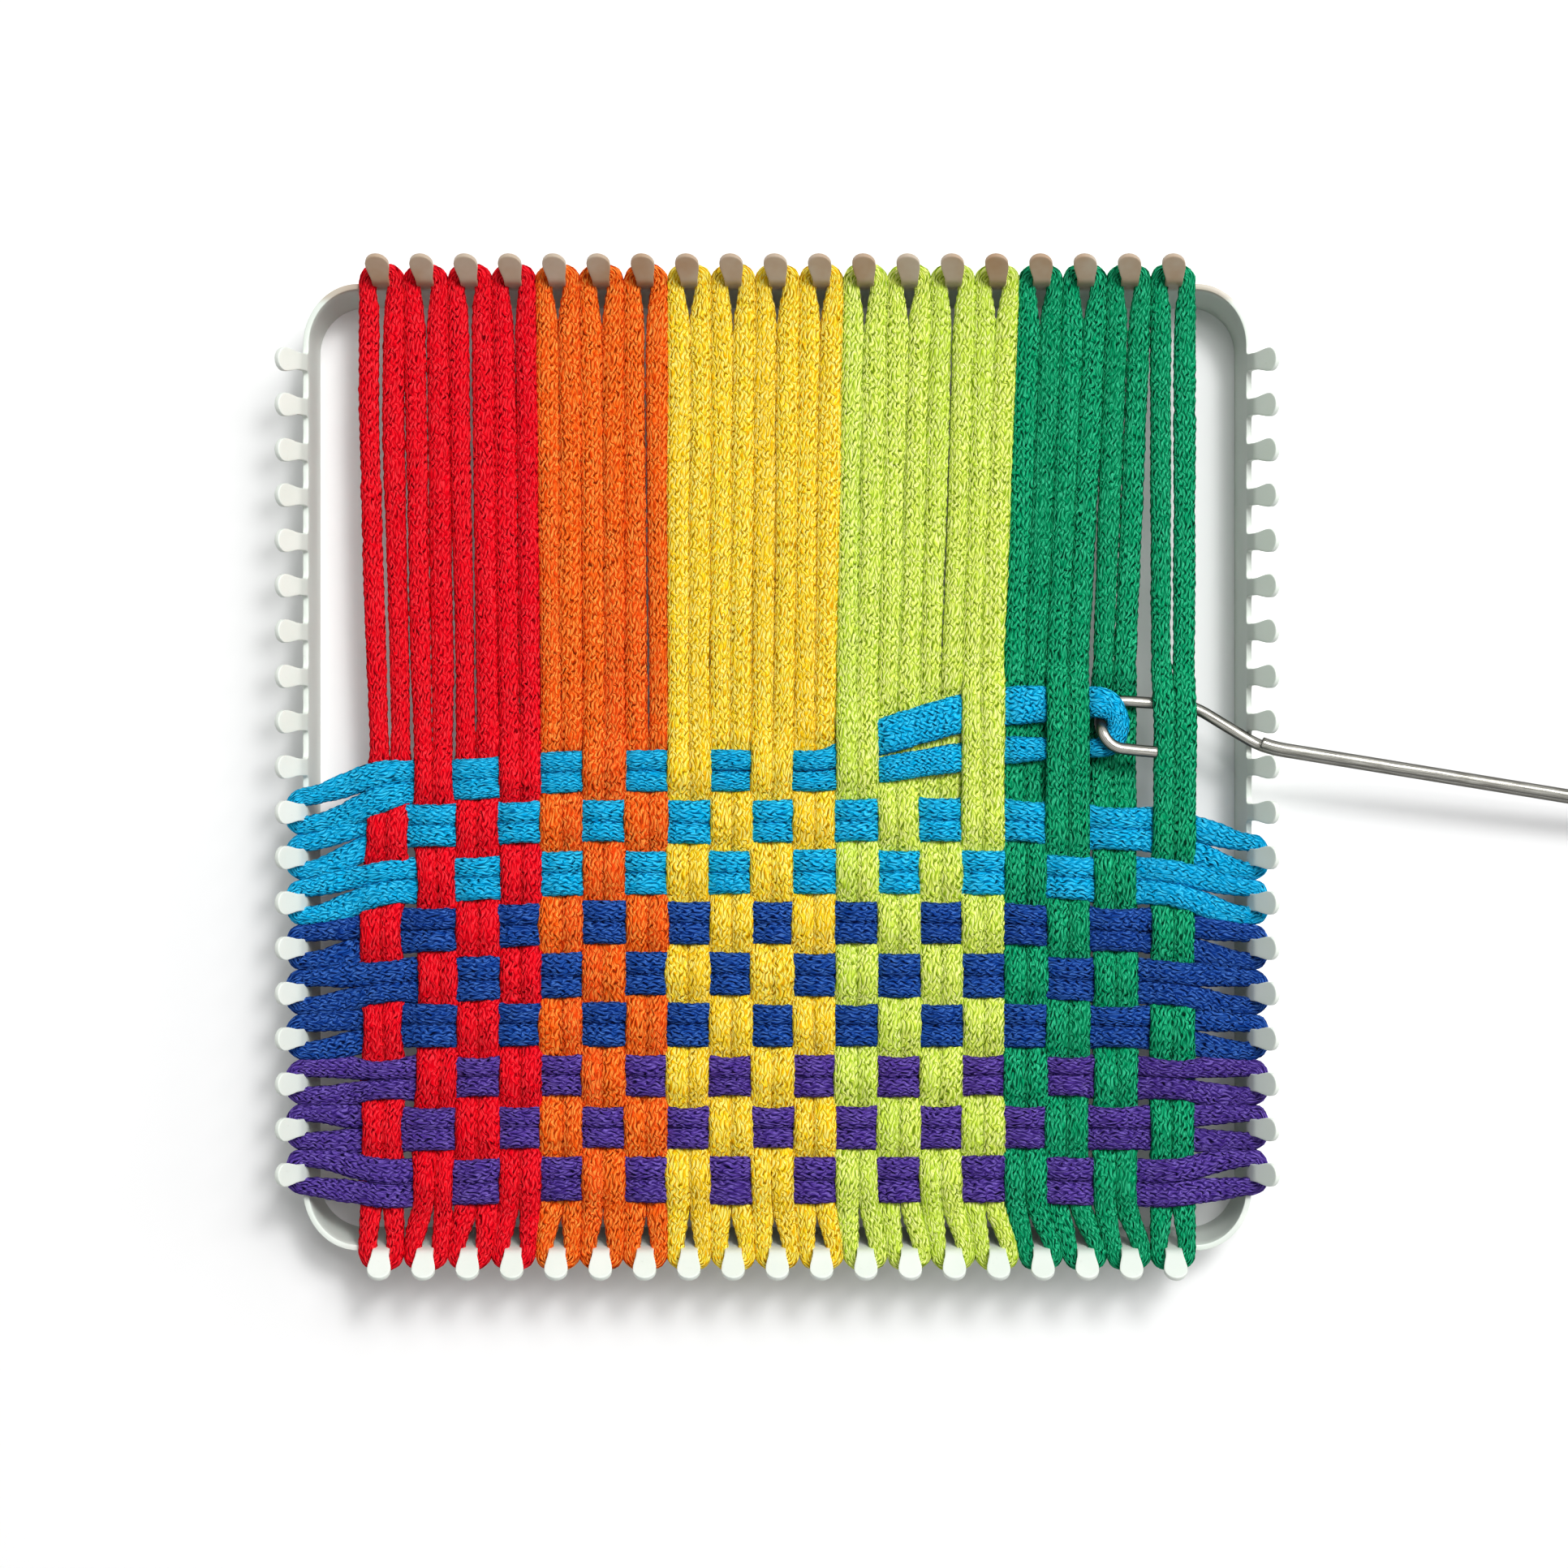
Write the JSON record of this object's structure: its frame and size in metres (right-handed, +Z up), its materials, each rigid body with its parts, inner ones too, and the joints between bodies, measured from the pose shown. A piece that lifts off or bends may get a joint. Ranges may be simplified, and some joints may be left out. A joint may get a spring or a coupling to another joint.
{
  "type": "potholder loom",
  "caption": "Square peg loom of bent sheet steel, strung with knitted loops and half woven, with a wire weaving hook pulling a weft loop through.",
  "frame": {"origin": "middle of the frame's foot, on the surface that it stands on", "axes": "+Z up, +Y along the warp loops, +X along the weft loops towards the hook's handle"},
  "size_m": [0.3508, 0.2048, 0.0233],
  "materials": {
    "painted_steel": "pale grey-green paint, satin",
    "bare_wire": "bare drawn steel wire, dull",
    "red_knit": "knitted cotton tube, matt",
    "orange_knit": "knitted cotton tube, matt",
    "yellow_knit": "knitted cotton tube, matt",
    "lime_knit": "knitted cotton tube, matt",
    "green_knit": "knitted cotton tube, matt",
    "purple_knit": "knitted cotton tube, matt",
    "navy_knit": "knitted cotton tube, matt",
    "cyan_knit": "knitted cotton tube, matt"
  },
  "bodies": {
    "loom": {"loom_frame": "painted_steel", "warp_loop_01": "red_knit", "warp_loop_02": "red_knit", "warp_loop_03": "red_knit", "warp_loop_04": "red_knit", "warp_loop_05": "orange_knit", "warp_loop_06": "orange_knit", "warp_loop_07": "orange_knit", "warp_loop_08": "yellow_knit", "warp_loop_09": "yellow_knit", "warp_loop_10": "yellow_knit", "warp_loop_11": "yellow_knit", "warp_loop_12": "lime_knit", "warp_loop_13": "lime_knit", "warp_loop_14": "lime_knit", "warp_loop_15": "lime_knit", "warp_loop_16": "green_knit", "warp_loop_17": "green_knit", "warp_loop_18": "green_knit", "warp_loop_19": "green_knit", "weft_loop_1": "purple_knit", "weft_loop_2": "purple_knit", "weft_loop_3": "purple_knit", "weft_loop_4": "navy_knit", "weft_loop_5": "navy_knit", "weft_loop_6": "navy_knit", "weft_loop_7": "cyan_knit", "weft_loop_8": "cyan_knit", "weft_loop_9": "cyan_knit"},
    "hook": {"weaving_hook": "bare_wire"}
  },
  "joints": [
    {"name": "hook_pull", "type": "slide", "parent": "loom", "child": "hook", "axis": [0.8746, -0.4848, 0], "range_m": [0, 0.008], "deforming": ["weft_loop_9"]}
  ]
}
